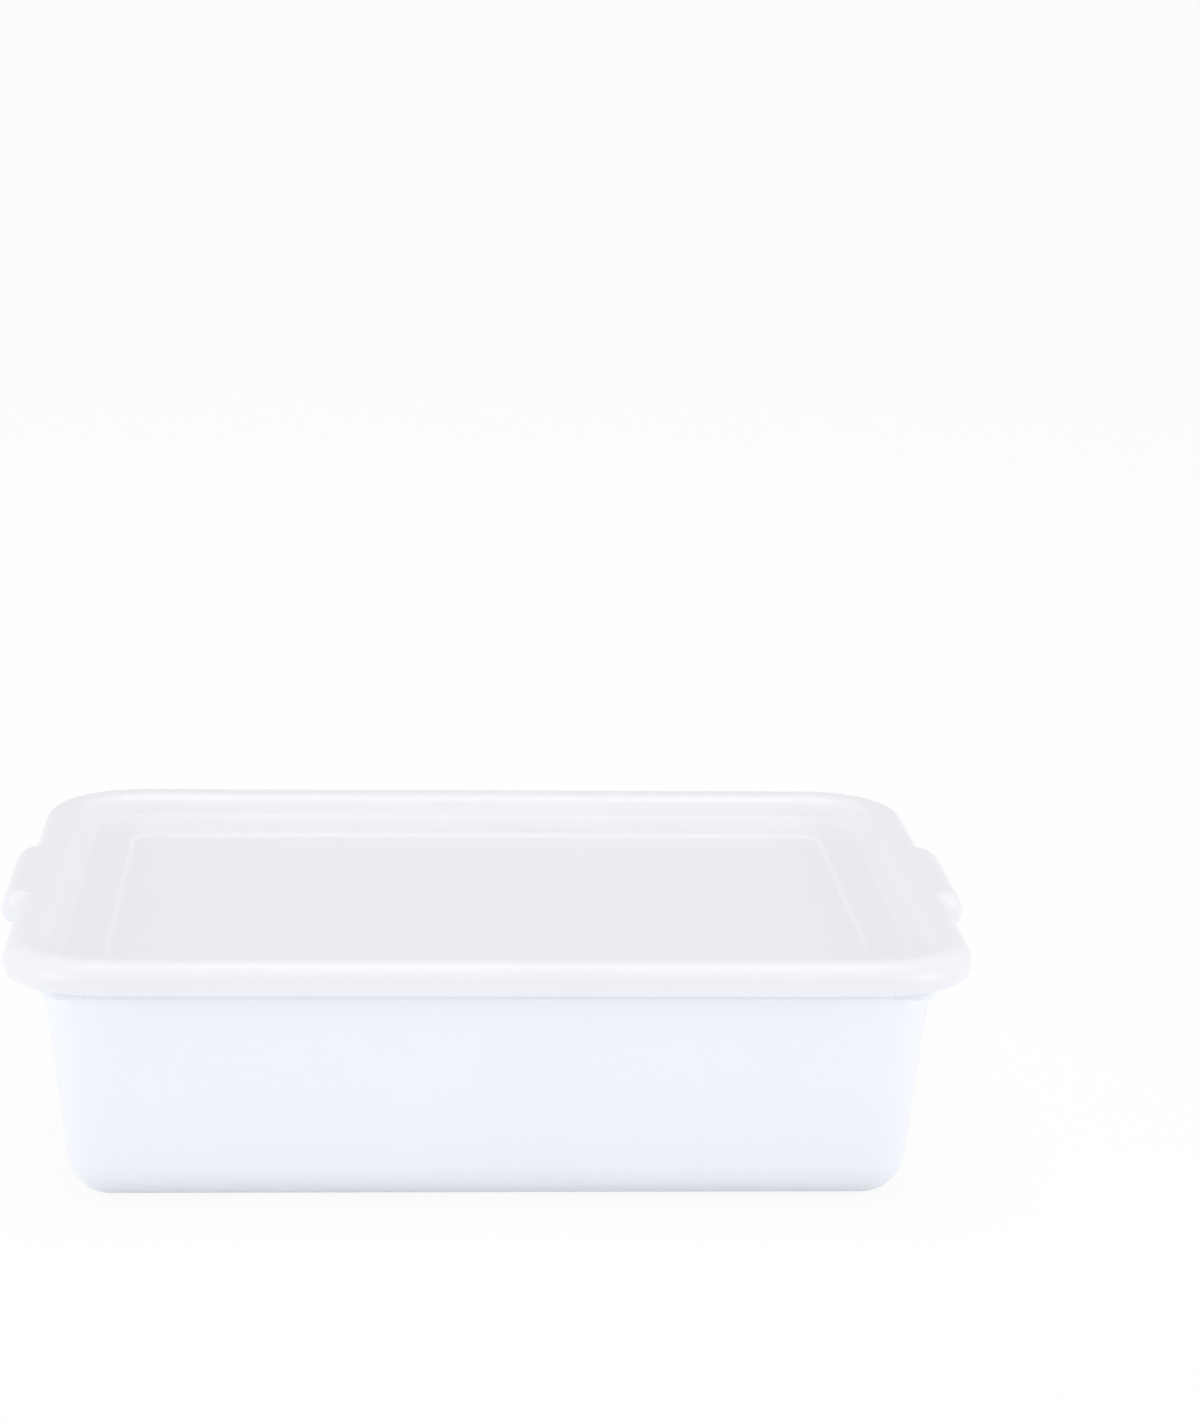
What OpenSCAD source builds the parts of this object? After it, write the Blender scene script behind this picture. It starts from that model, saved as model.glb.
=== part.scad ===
// Dough proofing container: a low rectangular tub and a lid that rests over its rim.
// Both are thin polypropylene mouldings. The base of the tub stands on z = 0, centred on the
// origin, with its long sides along X. Every section below is drawn once and carried round a
// plan with four rounded corners, on corner axes that the tub, the lid and its recess share.

/* [Tub] */
// Length of the tub over its rim, without the grips
rim_l = 437; // [380:1:530]
// Width of the tub over its rim
rim_w = 332; // [276:1:400]
// Plan radius of the rim's corners
rim_r = 46; // [38:1:58]
// Height of the tub, from the table to the top of its rim
tub_h = 119; // [90:1:150]
// Thickness of the tub's moulding
wall_t = 2.2; // [1.6:0.1:3]
// How far the wall leans in, from under the shoulder down to the table
wall_lean = 11.8; // [8:0.1:16]
// Radius between the wall and the underside of the floor
foot_r = 20; // [10:0.5:26]

/* [Rim] */
// Width of the rim, from its outer edge to the inner face of the wall under it
rim_band = 12.5; // [11:0.5:16]
// Radius of the rim's outer edge
rim_edge_r = 7; // [5:0.5:8.4]
// Radius of the rim's inner edge
rim_brink_r = 2.5; // [1:0.5:3]
// Depth of the rim's turned-down edge, from the top of the rim
rim_drop = 10; // [8.4:0.1:11.5]
// Depth of the stacking shoulder, from the top of the rim
shoulder_h = 18; // [14:0.5:24]
// How far the shoulder steps in
shoulder_w = 5.4; // [3:0.1:7]
// How far the lugs under the rim's corners stand back from the wall above the shoulder, at the ends
lug_end_back = 6.5; // [4:0.1:8]
// The same distance at the long sides
lug_side_back = 1.2; // [1.2:0.1:3]
// Plan radius of the lugs
lug_r = 8; // [6:0.5:10]

/* [Grips] */
// Length of a grip between the centres of its rounded ends
grip_l = 79; // [60:1:110]
// How far a grip stands out from the rim
grip_out = 8; // [7:0.5:12]

/* [Lid] */
// Thickness of the lid's moulding
lid_t = 2.2; // [1.6:0.1:3]
// Clearance between the lid and the tub's rim, at the sides and above
lid_fit = 0.3; // [0.2:0.05:0.6]
// How far the lid's skirt reaches below the top of the tub's rim
skirt_drop = 12.3; // [11.5:0.1:14]
// How far the recess starts inside the inner edge of the rim, before its edge is rounded
recess_in = 3.6; // [2.6:0.1:8]
// Slope of the recess's sides, in degrees
recess_slope = 62; // [50:1:75]
// Radius at the top of that slope
brink_r = 8; // [3.4:0.1:9]
// Radius where that slope runs out into the ledge
slope_foot_r = 4; // [1:0.5:10]
// How far the ledge, which carries the next box, lies below the top of the border
ledge_drop = 11.2; // [8:0.1:12]
// Width of the strip of ledge under the flat base of the next box, along each long side
seat_w = 8.2; // [4:0.1:14]
// How far the sunk panel reaches out past the flat base of the next box, at each short side
panel_over = 2.3; // [1:0.1:4]
// Plan radius of the panel's corners
panel_r = 12; // [6:1:40]
// How far the panel lies below the ledge
panel_drop = 1.8; // [0.8:0.1:2]

/* [Hidden] */

// Smoothness of the turned corners
$fn = 96;
// Steps in each arc of a section
arc_steps = 8;
// A cut runs this far past the material it removes
past = 1;

// The upright corner axes of both pieces stand at (+-axis_x, +-axis_y)
axis_x = rim_l / 2 - rim_r;
axis_y = rim_w / 2 - rim_r;

// Tub: the wall's outer line, measured outwards from a corner axis
shoulder_z = tub_h - shoulder_h;
lean_angle = atan(wall_lean / shoulder_z);
wall_top = rim_r - rim_band - shoulder_w + wall_t;
wall_base = wall_top - wall_lean;
wall_skew = wall_t / cos(lean_angle);
// The foot radius is held back where a corner has no room for it
foot_room = (wall_base - 0.2) / (1 / cos(lean_angle) - tan(lean_angle));
foot_used = min(foot_r, foot_room);
foot_axis = wall_base + foot_used * tan(lean_angle) - foot_used / cos(lean_angle);
ledge_z = shoulder_z + wall_t;
rim_low = tub_h - rim_drop;
rim_turn = rim_r - rim_edge_r;
rim_turn_z = tub_h - rim_edge_r;
band_in = rim_r - rim_band;
// A grip's edge is rounded like the rim's, as far as the grip has room for it
grip_edge_r = min(rim_edge_r, grip_out);

// Lid: it follows the rim at the named clearance
lid_edge = rim_r + lid_fit + lid_t;
lid_under = tub_h + lid_fit;
lid_top = lid_under + lid_t;
skirt_low = tub_h - skirt_drop;
ledge_top = lid_top - ledge_drop;
brink_z = lid_top - brink_r;
// The recess: the top and the foot of its slope, measured outwards from a corner axis
recess_r = band_in - recess_in + brink_r * tan(recess_slope / 2);
// The radius at the foot of the slope is held back where the recess isn't deep enough for it
slope_foot_used = min(slope_foot_r, (ledge_drop - 0.3) / (1 - cos(recess_slope)) - brink_r);
slope_low = band_in - recess_in - ledge_drop / tan(recess_slope);
slope_foot = slope_low - slope_foot_used * tan(recess_slope / 2);
slope_foot_z = ledge_top + slope_foot_used;
panel_l = 2 * (axis_x + foot_axis + panel_over);
panel_w = 2 * (axis_y + foot_axis - seat_w);
panel_top = ledge_top - panel_drop;

// Points on an arc about (x, z) from one angle to another
function arc(x, z, r, from, to) =
    [for (i = [0:arc_steps]) let (a = from + (to - from) * i / arc_steps) [x + r * cos(a), z + r * sin(a)]];

// Where the wall's outer line is at a height
function wall_at(z) = wall_base + wall_lean * z / shoulder_z;

// Carries a section round a plan with corner axes at (+-ax, +-ay): a quarter turn at each corner
// and a straight run between them
module around(ax, ay) {
    for (turn = [0, 180]) rotate(turn) {
        translate([ax, ay, 0]) rotate_extrude(angle = 90) children();
        translate([-ax, ay, 0]) rotate(90) rotate_extrude(angle = 90) children();
        translate([-ax, ay, 0]) rotate([90, 0, 90]) linear_extrude(2 * ax) children();
        rotate(90) translate([-ay, ax, 0]) rotate([90, 0, 90]) linear_extrude(2 * ay) children();
    }
}

// The block between the four corner axes, from one height to another
module middle(ax, ay, low, high) {
    translate([-ax, -ay, low]) cube([2 * ax, 2 * ay, high - low]);
}

// A slab l by w with corners of radius r, from one height to another
module slab(l, w, r, low, high) {
    translate([0, 0, low]) linear_extrude(high - low) {
        square([l - 2 * r, w], center = true);
        square([l, w - 2 * r], center = true);
        for (x = [-1, 1], y = [-1, 1]) translate([x * (l / 2 - r), y * (w / 2 - r)]) circle(r);
    }
}

// Half of a section filled in: everything inside the tub's outer surface
module tub_outside() {
    polygon(concat(
        [[0, 0]],
        arc(foot_axis, foot_used, foot_used, -90, -lean_angle),
        [[wall_at(shoulder_z), shoulder_z], [band_in + wall_t, shoulder_z]],
        [[band_in + wall_t, rim_low], [rim_r, rim_low]],
        arc(rim_turn, rim_turn_z, rim_edge_r, 0, 90),
        [[0, tub_h]]
    ));
}

// The space that the tub holds: foot radius, leaning wall, ledge, and the rim's rounded brink
module tub_inside() {
    polygon(concat(
        [[0, wall_t]],
        arc(foot_axis, foot_used, foot_used - wall_t, -90, -lean_angle),
        [[wall_at(ledge_z) - wall_skew, ledge_z], [band_in, ledge_z]],
        arc(band_in + rim_brink_r, tub_h - rim_brink_r, rim_brink_r, 180, 90),
        [[band_in + rim_brink_r, tub_h + past], [0, tub_h + past]]
    ));
}

// The hollow under the rim, between the wall and the turned-down edge
module rim_hollow() {
    polygon(concat(
        [[band_in + wall_t, rim_low - past], [rim_r - wall_t, rim_low - past]],
        arc(rim_turn, rim_turn_z, rim_edge_r - wall_t, 0, 90),
        [[band_in + wall_t, tub_h - wall_t]]
    ));
}

// Half of the lid's section filled in, or the space under it: gap is its distance outside the rim
module lid_section(gap, low) {
    polygon(concat(
        [[0, low], [rim_r + gap, low]],
        arc(rim_turn, rim_turn_z, rim_edge_r + gap, 0, 90),
        [[0, tub_h + gap]]
    ));
}

// The recess in the lid's top, filled in, with its surface moved outwards by gap
module recess(gap) {
    around(axis_x, axis_y) polygon(concat(
        [[0, ledge_top - gap]],
        arc(slope_foot, slope_foot_z, slope_foot_used + gap, -90, recess_slope - 90),
        arc(recess_r, brink_z, brink_r - gap, 90 + recess_slope, 90),
        [[recess_r, lid_top + past], [0, lid_top + past]]
    ));
    middle(axis_x, axis_y, ledge_top - gap, lid_top + past);
}

// Edge of a grip in section: gap is its distance outside the tub's own grip, low its lower end
module grip_edge(gap, low) {
    polygon(concat(
        [[0, low], [grip_out + gap, low]],
        arc(grip_out - grip_edge_r, tub_h - grip_edge_r, grip_edge_r + gap, 0, 90),
        [[0, tub_h + gap]]
    ));
}

// Both grips filled in: a straight run between two rounded ends, carried back over the rim's edge
module grips(gap, low) {
    for (turn = [0, 180]) rotate(turn) translate([rim_l / 2, 0, 0]) for (end = [0, 1]) mirror([0, end, 0]) {
        rotate([90, 0, 0]) linear_extrude(grip_l / 2) grip_edge(gap, low);
        translate([0, -grip_l / 2, 0]) rotate(-90) rotate_extrude(angle = 90) grip_edge(gap, low);
        translate([-rim_edge_r, -grip_l / 2, 0]) rotate([90, 0, -90]) mirror([0, 0, 1])
            linear_extrude(rim_edge_r) grip_edge(gap, low);
        translate([-rim_edge_r, -grip_l / 2, low]) cube([rim_edge_r, grip_l / 2, tub_h + gap - low]);
    }
}

// The lugs: a squarer ring than the wall, of which only the corners stand clear outside the wall
module lugs() {
    low = shoulder_z;
    high = tub_h - 0.8 * wall_t; // just up into the rim's top
    l = 2 * (axis_x + band_in + wall_t - lug_end_back);
    w = 2 * (axis_y + band_in + wall_t - lug_side_back);
    inside = [band_in + wall_t / 2, high - low + 2 * past];
    difference() {
        slab(l, w, lug_r, low, high);
        slab(l - 2 * wall_t, w - 2 * wall_t, lug_r - wall_t, low - past, high + past);
        around(axis_x, axis_y) translate([0, low - past]) square(inside);
        middle(axis_x, axis_y, low - past, high + past);
    }
}

module tub() {
    color([0.91, 0.93, 0.98]) {
        difference() {
            union() {
                around(axis_x, axis_y) tub_outside();
                middle(axis_x, axis_y, 0, tub_h);
                grips(0, rim_low);
            }
            around(axis_x, axis_y) tub_inside();
            middle(axis_x, axis_y, wall_t, tub_h + past);
            around(axis_x, axis_y) rim_hollow();
            grips(-wall_t, rim_low - past);
        }
        lugs();
    }
}

// The lid without its recess and panel, or the space under that
module lid_block(gap, low) {
    around(axis_x, axis_y) lid_section(gap, low);
    middle(axis_x, axis_y, low, tub_h + gap);
    grips(gap, low);
}

module lid() {
    color([0.94, 0.95, 0.97]) {
        difference() {
            lid_block(lid_fit + lid_t, skirt_low);
            recess(0);
            difference() {
                lid_block(lid_fit, skirt_low - past);
                recess(lid_t);
            }
            slab(panel_l, panel_w, panel_r, panel_top, ledge_top + past);
        }
        slab(panel_l + 2 * lid_t, panel_w + 2 * lid_t, panel_r + lid_t, panel_top - lid_t, panel_top);
    }
}

tub();
lid();
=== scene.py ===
import math

import bpy
import numpy as np
from mathutils import Matrix, Vector


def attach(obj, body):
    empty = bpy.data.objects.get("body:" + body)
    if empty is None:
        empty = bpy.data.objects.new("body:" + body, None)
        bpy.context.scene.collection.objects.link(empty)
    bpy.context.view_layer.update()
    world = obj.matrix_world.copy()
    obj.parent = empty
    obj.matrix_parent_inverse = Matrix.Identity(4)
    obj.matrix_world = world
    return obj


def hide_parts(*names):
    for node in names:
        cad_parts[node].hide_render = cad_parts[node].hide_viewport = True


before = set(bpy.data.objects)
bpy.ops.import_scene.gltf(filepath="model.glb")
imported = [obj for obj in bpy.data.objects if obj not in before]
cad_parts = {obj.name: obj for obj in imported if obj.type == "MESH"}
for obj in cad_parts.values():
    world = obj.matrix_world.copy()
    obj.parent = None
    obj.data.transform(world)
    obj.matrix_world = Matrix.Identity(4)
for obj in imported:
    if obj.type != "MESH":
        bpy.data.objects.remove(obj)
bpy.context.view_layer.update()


# ---- Tub ----------------------------------------------------------------------------------
# The tub is one injection moulding in milky white polypropylene, sized here in millimetres: a flat
# floor, drafted walls with a large foot radius, a stacking shoulder, a rim turned down all round
# that swells into a grip on each short side, and a lug under each corner of the rim.

WALL = 2.2
RIM_AXES = (172.5, 120.0)  # upright axes that the rim's corners turn about
RIM_REACH = 46.0  # the rim's outer edge, measured outwards from those axes
RIM_TOP = 119.0
LIP_LOW = 109.0
BAND_IN = 33.5
SHOULDER = 101.0
WALL_BASE = 18.5
WALL_TOP = 30.3
FOOT = 20.0

GRIP_FLAT = 37.5  # half of a grip's straight run
GRIP_OUT = 8.0
GRIP_TURN = math.radians(62)  # steepest angle of the S-curve at a grip's end
GRIP_CONVEX, GRIP_HOLLOW = 4.8, 7.6  # radii of that curve on the tub's own outline


def grip_curve():
    """Half of a grip's outline as rows of (distance along the side, stand-out, turn): a straight run,
    an arc that turns in, a short straight, and an arc that turns back to run with the rim."""
    turn = np.linspace(0, GRIP_TURN, 9)
    y1, x1 = GRIP_FLAT, GRIP_OUT - GRIP_CONVEX
    first = np.stack([y1 + GRIP_CONVEX * np.sin(turn), x1 + GRIP_CONVEX * np.cos(turn), turn], 1)
    fall = first[-1, 1] - GRIP_HOLLOW * (1 - math.cos(GRIP_TURN))
    y2 = first[-1, 0] + fall / math.tan(GRIP_TURN) + GRIP_HOLLOW * math.sin(GRIP_TURN)
    back = turn[::-1]
    second = np.stack([y2 - GRIP_HOLLOW * np.sin(back), GRIP_HOLLOW * (1 - np.cos(back)), back], 1)
    run = np.array([[y, GRIP_OUT, 0] for y in (0, 12, 24, 33.5)])
    rest = np.array([[y, 0, 0] for y in (y2 + 3, y2 + 12, 85, 105, 117)])
    return np.concatenate([run, first, second, rest])


def stations():
    """The places round a plan, counter-clockwise from the middle of the right side. For each one:
    its share of the two corner axes, its outward direction, and how a grip moves it there: how far
    out, and how far the outline turns, signed by the way along the side that it turns to."""
    half = grip_curve()
    side = np.concatenate([-half[:0:-1, :1], half[:, :1]])[:, 0]
    out = np.concatenate([half[:0:-1, 1], half[:, 1]])
    turn = np.concatenate([-half[:0:-1, 2], half[:, 2]])
    share = side / RIM_AXES[1]
    long = np.linspace(1, -1, 27)[1:-1]
    corner = np.linspace(0, math.pi / 2, 33)
    rows = []
    for k in range(2):
        s = 1 - 2 * k
        rows.append(np.stack([s + 0 * share, s * share, s + 0 * share, 0 * share, out, turn], 1))
        a = corner + k * math.pi
        rows.append(np.stack([s + 0 * a, s + 0 * a, np.cos(a), np.sin(a), 0 * a, 0 * a], 1))
        rows.append(np.stack([s * long, s + 0 * long, 0 * long, s + 0 * long, 0 * long, 0 * long], 1))
        a = corner + math.pi / 2 + k * math.pi
        rows.append(np.stack([-s + 0 * a, s + 0 * a, np.cos(a), np.sin(a), 0 * a, 0 * a], 1))
    return np.concatenate(rows)


STATIONS = stations()


def rounded(corners):
    """A section line through corners, rows of (reach, height, radius). Each inner corner becomes an
    arc of its radius, tangent to both of its sides, in steps of about 7 degrees. A straight stretch
    gets a point near each end, so that shading stays flat along it."""
    c = np.array(corners, float)
    p, r = c[:, :2], c[:, 2]
    line = [p[:1]]
    for k in range(1, len(p) - 1):
        a = (p[k - 1] - p[k]) / np.linalg.norm(p[k - 1] - p[k])
        b = (p[k + 1] - p[k]) / np.linalg.norm(p[k + 1] - p[k])
        bend = math.pi - math.acos(np.clip(a @ b, -1, 1))
        tangent = r[k] * math.tan(bend / 2)
        centre = p[k] + (a + b) / np.linalg.norm(a + b) * r[k] / math.cos(bend / 2)
        t = np.linspace(0, 1, max(4, int(bend / math.radians(7)) + 1))[:, None]
        v, w = p[k] + a * tangent - centre, p[k] + b * tangent - centre
        line.append(centre + (v * np.sin((1 - t) * bend) + w * np.sin(t * bend)) / math.sin(bend))
    line.append(p[-1:])
    made = [line[0]]
    for before, after in zip(line[:-1], line[1:]):
        gap = np.linalg.norm(after[0] - before[-1])
        if gap > 2.4:
            near = 0.7 / gap
            made.append(before[-1] + (after[0] - before[-1]) * np.array([[near], [1 - near]]))
        made.append(after)
    return np.concatenate(made)


def around(axes, section, grip=0.0, offset=0.0):
    """Rings of points: each section point carried round a plan with its corner axes at axes. grip is
    the share of the grip's stand-out that these rings take, and offset how far their surface lies
    outside the tub's own outline, which widens or tightens the curves at the grip's ends."""
    reach, height = section[:, 0][:, None], section[:, 1][:, None]
    sx, sy, nx, ny, out, turn = STATIONS.T
    x = sx * axes[0] + nx * reach
    y = sy * axes[1] + ny * reach
    end = np.abs(nx) == 1
    push = out + (np.cos(turn) - 1) * offset
    x = x + np.where(end, nx * grip * push, 0)
    y = y + np.where(end, nx * grip * np.sin(turn) * offset, 0)
    return np.stack([x, y, height + 0 * x], 2)


def shrunk(ring, shares):
    """Copies of a ring drawn in towards its middle, for a flat floor or panel."""
    shares = np.array(shares)[:, None, None]
    return ring[None] * np.concatenate([shares, shares, shares * 0 + 1], 2)


def skin(name, rings):
    """One closed mesh from rings stacked in order, the first and last drawn to a point each. Rings run
    from the middle of the top face, out over the edge, and back under to the middle of the underside."""
    rings = np.asarray(rings)
    many, around_n = rings.shape[:2]
    points = np.concatenate([rings.reshape(-1, 3), rings[0].mean(0)[None], rings[-1].mean(0)[None]])
    i, j = np.meshgrid(np.arange(many - 1), np.arange(around_n), indexing="ij")
    k = (j + 1) % around_n
    quads = np.stack([i * around_n + j, (i + 1) * around_n + j, (i + 1) * around_n + k, i * around_n + k], 2)
    j = np.arange(around_n)
    k = (j + 1) % around_n
    top = np.stack([j, k, 0 * j + many * around_n], 1)
    last = (many - 1) * around_n
    under = np.stack([last + k, last + j, 0 * j + many * around_n + 1], 1)
    mesh = bpy.data.meshes.new(name)
    mesh.from_pydata(points * 0.001, [], quads.reshape(-1, 4).tolist() + top.tolist() + under.tolist())
    mesh.polygons.foreach_set("use_smooth", np.ones(len(mesh.polygons), bool))
    mesh.update()
    piece = bpy.data.objects.new(name, mesh)
    bpy.context.scene.collection.objects.link(piece)
    return piece


INNER_LEDGE = SHOULDER + WALL
LEAN = (WALL_TOP - WALL_BASE) / SHOULDER
SKEW = WALL * math.hypot(1, LEAN)
FOOT_INSIDE = WALL_BASE + LEAN * WALL - SKEW

tub_floor = rounded([
    (0.3, WALL, 0), (FOOT_INSIDE, WALL, FOOT - WALL),
    (WALL_BASE + LEAN * INNER_LEDGE - SKEW, INNER_LEDGE, 0.9), (BAND_IN - 1.8, INNER_LEDGE, 0),
])
tub_brink = rounded([
    (BAND_IN - 1.6, INNER_LEDGE, 0), (BAND_IN, INNER_LEDGE, 0.9), (BAND_IN, RIM_TOP, 2.4), (37.6, RIM_TOP, 0),
])
tub_lip = rounded([(38.6, RIM_TOP, 0), (RIM_REACH, RIM_TOP, 7), (RIM_REACH, LIP_LOW, 0.9), (45, LIP_LOW, 0)])
tub_lip_inside = rounded([
    (44.8, LIP_LOW, 0), (RIM_REACH - WALL, LIP_LOW, 0.7), (RIM_REACH - WALL, RIM_TOP - WALL, 4.8), (38.4, RIM_TOP - WALL, 0),
])
tub_outside = rounded([
    (37.6, RIM_TOP - WALL, 0), (BAND_IN + WALL, RIM_TOP - WALL, 1), (BAND_IN + WALL, SHOULDER, 1.1),
    (WALL_TOP, SHOULDER, 0.7), (WALL_BASE, 0, FOOT), (0.3, 0, 0),
])
tub_rings = [
    around(RIM_AXES, tub_floor),
    around(RIM_AXES, tub_brink),
    around(RIM_AXES, tub_lip, grip=1),
    around(RIM_AXES, tub_lip_inside, grip=1, offset=-WALL),
    around(RIM_AXES, tub_outside),
]
inward = (0.12, 0.4, 0.7, 0.93)  # rings across a flat middle, as shares of its outline
tub = skin("tub_moulding", np.concatenate(
    [shrunk(tub_rings[0][0], inward), *tub_rings, shrunk(tub_rings[-1][-1], inward[::-1])]
))

LUG_FACES = (201.7, 154.5)  # outer faces of the lugs, from the middle of the tub
LUG_CORNER = 8.0
LUG_RUNS = (6.6, 12.1)  # straight runs along the short and the long side, to inside the wall


def lug(name, across, along):
    """One lug: an upright strip as thick as the wall, its section carried along a path. The path runs
    parallel to the short side, turns a quarter circle, and runs parallel to the long side, and both
    of its ends lie inside the wall. across and along are 1 or -1, for the corner it stands at."""
    quarter = np.linspace(0, math.pi / 2, 13)
    middle_x, middle_y = LUG_FACES[0] - LUG_CORNER, LUG_FACES[1] - LUG_CORNER
    turn = np.concatenate([[0] * 3, quarter, [math.pi / 2] * 3])
    before = np.concatenate([[LUG_RUNS[0], LUG_RUNS[0] - 0.25, 1], 0 * quarter, [0] * 3])
    after = np.concatenate([[0] * 3, 0 * quarter, [1, LUG_RUNS[1] - 0.25, LUG_RUNS[1]]])
    section = rounded([
        (-0.4 * WALL, RIM_TOP - 0.6 * WALL, 0), (0, RIM_TOP - 0.6 * WALL, 0.4), (0, SHOULDER, 0.7),
        (-WALL, SHOULDER, 0.7), (-WALL, RIM_TOP - 0.6 * WALL, 0.4), (-0.6 * WALL, RIM_TOP - 0.6 * WALL, 0),
    ])
    reach = LUG_CORNER + section[None, :, 0]
    x = middle_x - after[:, None] + np.cos(turn)[:, None] * reach
    y = middle_y - before[:, None] + np.sin(turn)[:, None] * reach
    rings = np.stack([across * x, along * y, section[None, :, 1] + 0 * x], 2)
    return skin(name, rings if across * along < 0 else rings[::-1])


def effect(name, inputs, outputs):
    """A shader node group with the named float inputs, each with its own value, and the named outputs."""
    group = bpy.data.node_groups.new(name, "ShaderNodeTree")
    for label, value in inputs.items():
        group.interface.new_socket(name=label, in_out="INPUT", socket_type="NodeSocketFloat").default_value = value
    for label in outputs:
        group.interface.new_socket(name=label, in_out="OUTPUT", socket_type="NodeSocketFloat")
    return group, group.nodes.new("NodeGroupInput"), group.nodes.new("NodeGroupOutput")


# Moulded grain: the even fine texture that an etched mould leaves, with slow ripples under it
grain, grain_in, grain_out = effect("moulded_grain", {"Size": 900.0, "Ripple": 0.25}, ["Height"])
where = grain.nodes.new("ShaderNodeTexCoord")
fine = grain.nodes.new("ShaderNodeTexNoise")
fine.inputs["Detail"].default_value = 3
slow = grain.nodes.new("ShaderNodeTexNoise")
slow.inputs["Scale"].default_value = 22
slow.inputs["Detail"].default_value = 1
mixed = grain.nodes.new("ShaderNodeMix")
grain.links.new(where.outputs["Object"], fine.inputs["Vector"])
grain.links.new(where.outputs["Object"], slow.inputs["Vector"])
grain.links.new(grain_in.outputs["Size"], fine.inputs["Scale"])
grain.links.new(grain_in.outputs["Ripple"], mixed.inputs["Factor"])
grain.links.new(fine.outputs["Fac"], mixed.inputs["A"])
grain.links.new(slow.outputs["Fac"], mixed.inputs["B"])
grain.links.new(mixed.outputs["Result"], grain_out.inputs["Height"])

# Milky cloud: slow, faint changes in how dense the white looks, as resin and wall vary
cloud, cloud_in, cloud_out = effect("milky_cloud", {"Size": 9.0, "Contrast": 1.0}, ["Mask"])
where = cloud.nodes.new("ShaderNodeTexCoord")
drift = cloud.nodes.new("ShaderNodeTexNoise")
drift.inputs["Detail"].default_value = 4
drift.inputs["Distortion"].default_value = 0.6
ramp = cloud.nodes.new("ShaderNodeMapRange")
ramp.interpolation_type = "SMOOTHERSTEP"
ramp.inputs["From Min"].default_value = 0.1
ramp.inputs["From Max"].default_value = 0.9
cloud.links.new(where.outputs["Object"], drift.inputs["Vector"])
cloud.links.new(cloud_in.outputs["Size"], drift.inputs["Scale"])
cloud.links.new(drift.outputs["Fac"], ramp.inputs["Value"])
cloud.links.new(cloud_in.outputs["Contrast"], ramp.inputs["To Max"])
cloud.links.new(ramp.outputs["Result"], cloud_out.inputs["Mask"])


def milky_plastic(name, dense, thin, rough_low, rough_high, grain_size, ripple, grain_depth):
    """Polypropylene: two near whites mixed by the milky cloud, a roughness that drifts between two
    values with it, and the moulded grain as a bump."""
    material = bpy.data.materials.new(name)
    material.use_nodes = True
    nodes, links = material.node_tree.nodes, material.node_tree.links
    surface = nodes["Principled BSDF"]
    surface.inputs["IOR"].default_value = 1.49
    surface.inputs["Subsurface Weight"].default_value = 0.2
    surface.inputs["Subsurface Radius"].default_value = (1.0, 0.95, 0.85)
    surface.inputs["Subsurface Scale"].default_value = 0.004
    patches = nodes.new("ShaderNodeGroup")
    patches.node_tree = cloud
    colour = nodes.new("ShaderNodeMix")
    colour.data_type = "RGBA"
    colour.inputs["A"].default_value = (*dense, 1)
    colour.inputs["B"].default_value = (*thin, 1)
    rough = nodes.new("ShaderNodeMapRange")
    rough.inputs["To Min"].default_value = rough_low
    rough.inputs["To Max"].default_value = rough_high
    texture = nodes.new("ShaderNodeGroup")
    texture.node_tree = grain
    texture.inputs["Size"].default_value = grain_size
    texture.inputs["Ripple"].default_value = ripple
    bump = nodes.new("ShaderNodeBump")
    bump.inputs["Strength"].default_value = 1.0
    bump.inputs["Distance"].default_value = grain_depth
    links.new(patches.outputs["Mask"], colour.inputs["Factor"])
    links.new(patches.outputs["Mask"], rough.inputs["Value"])
    links.new(colour.outputs["Result"], surface.inputs["Base Color"])
    links.new(rough.outputs["Result"], surface.inputs["Roughness"])
    links.new(texture.outputs["Height"], bump.inputs["Height"])
    links.new(bump.outputs["Normal"], surface.inputs["Normal"])
    return material


# The tub's two whites are lighter than the lid's. This is partly the tub's own bluer tint and partly painted light
# that lifts its walls, which catch less light than the lid's top and border.
tub.data.materials.append(
    milky_plastic("tub_polypropylene_with_painted_light", (0.94, 0.956, 0.995), (0.92, 0.94, 0.985), 0.29, 0.36, 700, 0.5, 0.00002)
)
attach(tub, "tub")
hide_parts("tub")
for place, across, along in (
    ("front_left", -1, -1), ("front_right", 1, -1), ("back_left", -1, 1), ("back_right", 1, 1),
):
    corner_lug = lug("tub_lug_" + place, across, along)
    corner_lug.data.materials.append(tub.data.materials[0])
    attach(corner_lug, "tub")


# ---- Lid ----------------------------------------------------------------------------------
# The lid is a second moulding in the same plastic. Its hollow border drops over the tub's rim
# and grows over the grips. Inside it lie a slope, a ledge that carries the next box, and a panel
# sunk a little below that.

FIT = 0.3
LID = 2.2
OVER = FIT + LID
LID_TOP = RIM_TOP + OVER
SKIRT_LOW = 106.7
SLOPE_TOP = 29.9  # where the recess's slope would meet the border's top
SLOPE = math.radians(62)
BRINK, SLOPE_FOOT = 8.0, 4.0
LEDGE = 110.3
PANEL_AXES = (163.5, 100.5)
PANEL_REACH = 12.0
PANEL_TOP = 108.5

slope_low = SLOPE_TOP - (LID_TOP - LEDGE) / math.tan(SLOPE)
under = LID * math.tan(SLOPE / 2)  # how much further out the same slope lies on the underside

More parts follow.
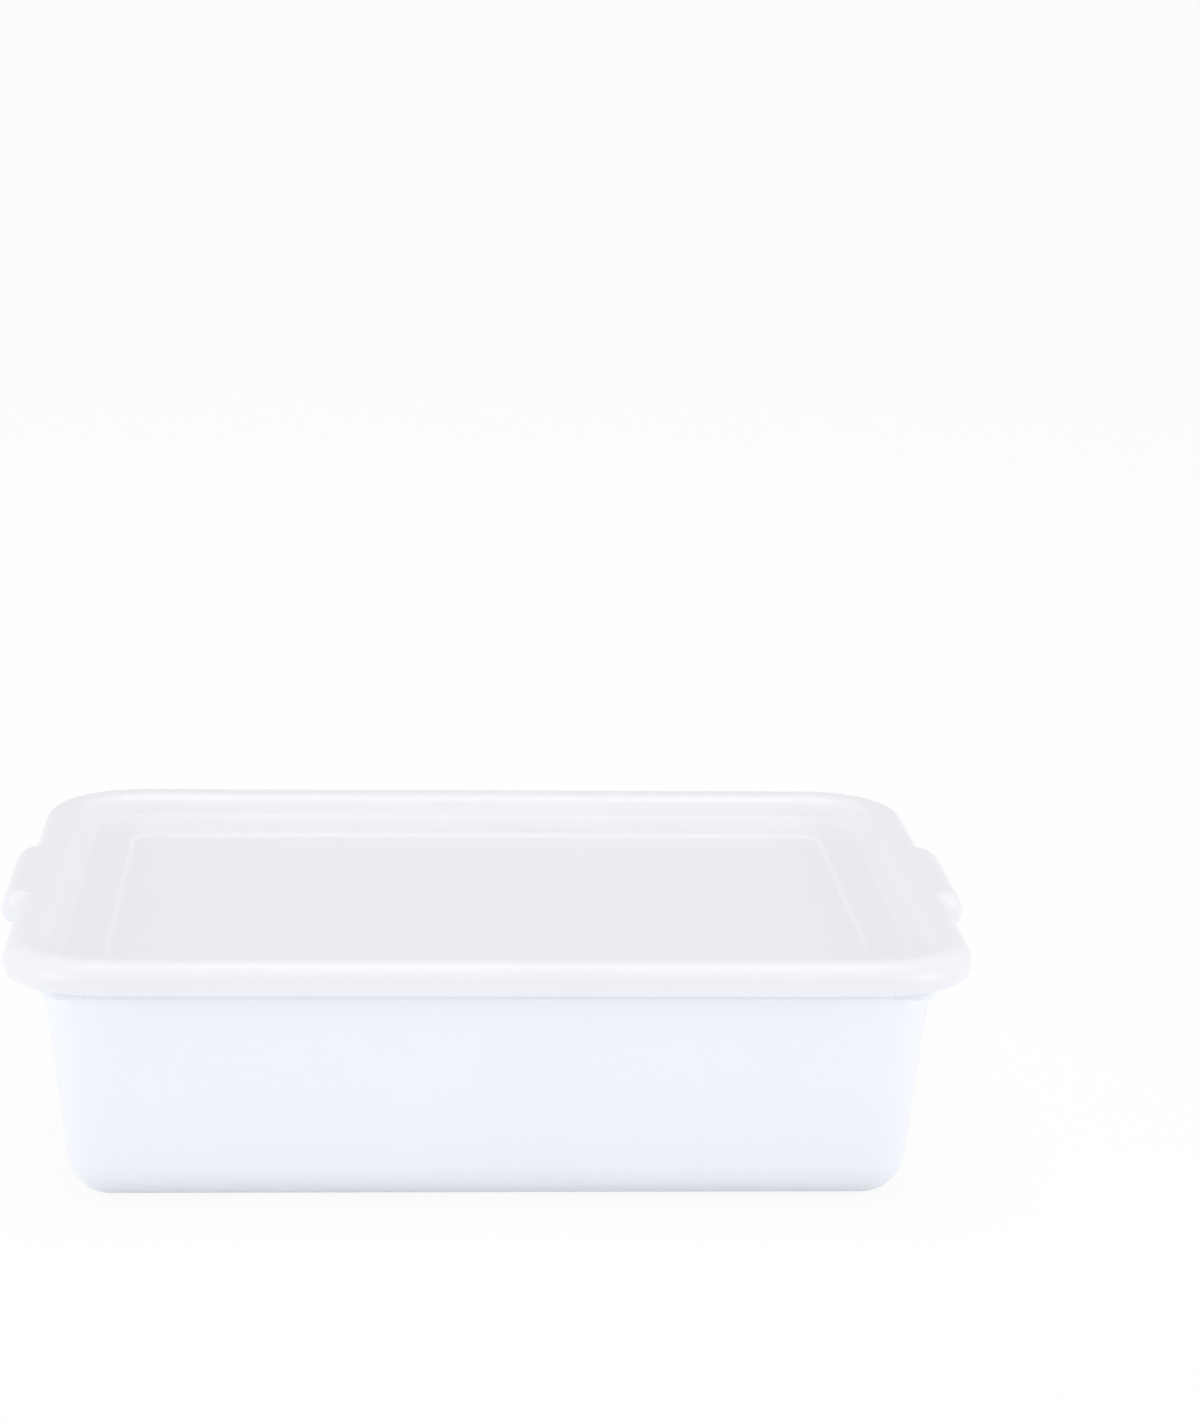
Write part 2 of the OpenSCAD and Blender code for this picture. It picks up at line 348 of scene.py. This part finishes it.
lid_panel = rounded([
    (0.3, PANEL_TOP, 0), (PANEL_REACH - 1.0, PANEL_TOP, 1.6), (PANEL_REACH + 0.3, LEDGE, 0.9), (PANEL_REACH + 1.3, LEDGE, 0),
])
lid_recess = rounded([
    (5, LEDGE, 0), (slope_low, LEDGE, SLOPE_FOOT), (SLOPE_TOP, LID_TOP - 0.25, BRINK), (35.4, LID_TOP - 0.2, 0),
])
lid_crest = rounded([
    (38.0, LID_TOP - 0.02, 0), (RIM_REACH + OVER, LID_TOP, 9.5), (RIM_REACH + OVER, 110.6, 9),
    (RIM_REACH + OVER - 1.1, SKIRT_LOW, 0.7), (RIM_REACH + FIT + 0.75, SKIRT_LOW, 0),
])
lid_hollow = rounded([
    (RIM_REACH + FIT + 0.6, SKIRT_LOW, 0), (RIM_REACH + FIT, SKIRT_LOW, 0.35),
    (RIM_REACH + FIT, LID_TOP - LID, 7.3), (38.0, LID_TOP - LID, 0),
])
lid_recess_under = rounded([
    (35.6, LID_TOP - LID, 0), (SLOPE_TOP + under, LID_TOP - LID, BRINK - LID + 0.3),
    (slope_low + under, LEDGE - LID, SLOPE_FOOT + LID), (6.5, LEDGE - LID, 0),
])
lid_panel_under = rounded([
    (PANEL_REACH + 3.1, LEDGE - LID, 0), (PANEL_REACH + 2.4, LEDGE - LID, 0.8), (PANEL_REACH + 1.0, PANEL_TOP - LID, 1.0),
    (0.3, PANEL_TOP - LID, 0),
])
lid_rings = [
    around(PANEL_AXES, lid_panel),
    around(RIM_AXES, lid_recess),
    around(RIM_AXES, lid_crest, grip=1, offset=OVER),
    around(RIM_AXES, lid_hollow, grip=1, offset=FIT),
    around(RIM_AXES, lid_recess_under),
    around(PANEL_AXES, lid_panel_under),
]
lid = skin("lid_moulding", np.concatenate(
    [shrunk(lid_rings[0][0], inward), *lid_rings, shrunk(lid_rings[-1][-1], inward[::-1])]
))
lid.data.materials.append(
    milky_plastic("lid_polypropylene", (0.885, 0.89, 0.917), (0.868, 0.875, 0.903), 0.30, 0.39, 900, 0.35, 0.00002)
)
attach(lid, "lid")
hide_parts("lid")


# ---- Floor, light and camera ----------------------------------------------------------------
# A white table that runs out to a white room, low softboxes at the left and the right, a large one
# overhead, and a camera a little above the box and turned slightly to its left.

floor_mesh = bpy.data.meshes.new("white_floor")
floor_mesh.from_pydata([(-30, -30, 0), (30, -30, 0), (30, 30, 0), (-30, 30, 0)], [], [(0, 1, 2, 3)])
floor = bpy.data.objects.new("white_floor", floor_mesh)
floor.location.z = -0.0002
bpy.context.scene.collection.objects.link(floor)
table = bpy.data.materials.new("white_table")
table.use_nodes = True
nodes, links = table.node_tree.nodes, table.node_tree.links
nodes.remove(nodes["Principled BSDF"])
matt = nodes.new("ShaderNodeBsdfDiffuse")
matt.inputs["Color"].default_value = (0.95, 0.955, 0.975, 1)
white = nodes.new("ShaderNodeEmission")
clear = nodes.new("ShaderNodeBsdfTransparent")
path = nodes.new("ShaderNodeLightPath")
seen = nodes.new("ShaderNodeMath")
seen.operation = "MAXIMUM"
seen_more = nodes.new("ShaderNodeMath")
seen_more.operation = "MAXIMUM"
share = nodes.new("ShaderNodeMath")
share.operation = "MULTIPLY"
share.inputs[1].default_value = 0.9
blend = nodes.new("ShaderNodeMixShader")
sides = nodes.new("ShaderNodeMixShader")
back = nodes.new("ShaderNodeNewGeometry")
links.new(path.outputs["Is Camera Ray"], seen.inputs[0])
links.new(path.outputs["Is Glossy Ray"], seen.inputs[1])
links.new(seen.outputs[0], seen_more.inputs[0])
links.new(path.outputs["Is Transmission Ray"], seen_more.inputs[1])
links.new(seen_more.outputs[0], share.inputs[0])
links.new(share.outputs[0], blend.inputs["Fac"])
links.new(matt.outputs[0], blend.inputs[1])
links.new(white.outputs[0], blend.inputs[2])
links.new(back.outputs["Backfacing"], sides.inputs["Fac"])
links.new(blend.outputs[0], sides.inputs[1])
links.new(clear.outputs[0], sides.inputs[2])
links.new(sides.outputs[0], nodes["Material Output"].inputs["Surface"])
floor_mesh.materials.append(table)

world = bpy.data.worlds.new("white_room")
bpy.context.scene.world = world
world.use_nodes = True
nodes, links = world.node_tree.nodes, world.node_tree.links
room = nodes["Background"]
room.inputs["Color"].default_value = (0.98, 0.985, 1, 1)
room.inputs["Strength"].default_value = 0.70
seen_room = nodes.new("ShaderNodeBackground")
seen_room.inputs["Strength"].default_value = 1.0
seen_room.inputs["Color"].default_value = (1, 1, 1, 1)
path = nodes.new("ShaderNodeLightPath")
seen = nodes.new("ShaderNodeMath")
seen.operation = "MAXIMUM"
either = nodes.new("ShaderNodeMixShader")
links.new(path.outputs["Is Camera Ray"], seen.inputs[0])
links.new(path.outputs["Is Transmission Ray"], seen.inputs[1])
links.new(seen.outputs[0], either.inputs["Fac"])
links.new(room.outputs[0], either.inputs[1])
links.new(seen_room.outputs[0], either.inputs[2])
links.new(either.outputs[0], nodes["World Output"].inputs["Surface"])


def softbox(name, place, aim, size, watts):
    """A square area lamp at place, facing aim."""
    light = bpy.data.lights.new(name, "AREA")
    light.shape = "RECTANGLE"
    light.size, light.size_y = size
    light.energy = watts
    lamp = bpy.data.objects.new(name, light)
    lamp.location = place
    lamp.rotation_mode = "QUATERNION"
    lamp.rotation_quaternion = (Vector(aim) - Vector(place)).to_track_quat("-Z", "Y")
    bpy.context.scene.collection.objects.link(lamp)
    return lamp


softbox("left_softbox", (-2.6, -1.4, 0.65), (0, 0, 0.1), (1.0, 1.0), 17.5)
softbox("right_softbox", (2.6, -1.4, 0.65), (0, 0, 0.1), (1.0, 1.0), 17.5)
softbox("top_softbox", (0, 0, 2.6), (0, 0, 0.1), (2.0, 1.4), 17.5)

lens = bpy.data.cameras.new("camera")
lens.lens = 100.46
lens.sensor_width = 36
camera = bpy.data.objects.new("camera", lens)
pitch, yaw, roll = math.radians(12.54), math.radians(3.43), math.radians(-1.02)
turned = Matrix.Rotation(-yaw, 3, "Z")
ahead = turned @ Vector((0, math.cos(pitch), -math.sin(pitch)))
level = turned @ Vector((1, 0, 0))
upright = turned @ Vector((0, math.sin(pitch), math.cos(pitch)))
right = level * math.cos(roll) - upright * math.sin(roll)
up = level * math.sin(roll) + upright * math.cos(roll)
stand = level * 0.05529 + upright * 0.19578 - ahead * 1.9509 + Vector((0, 0, 0.00088))
camera.matrix_world = Matrix((
    (right.x, up.x, -ahead.x, stand.x),
    (right.y, up.y, -ahead.y, stand.y),
    (right.z, up.z, -ahead.z, stand.z),
    (0, 0, 0, 1),
))
bpy.context.scene.collection.objects.link(camera)
bpy.context.scene.camera = camera
bpy.context.scene.view_settings.view_transform = "Standard"
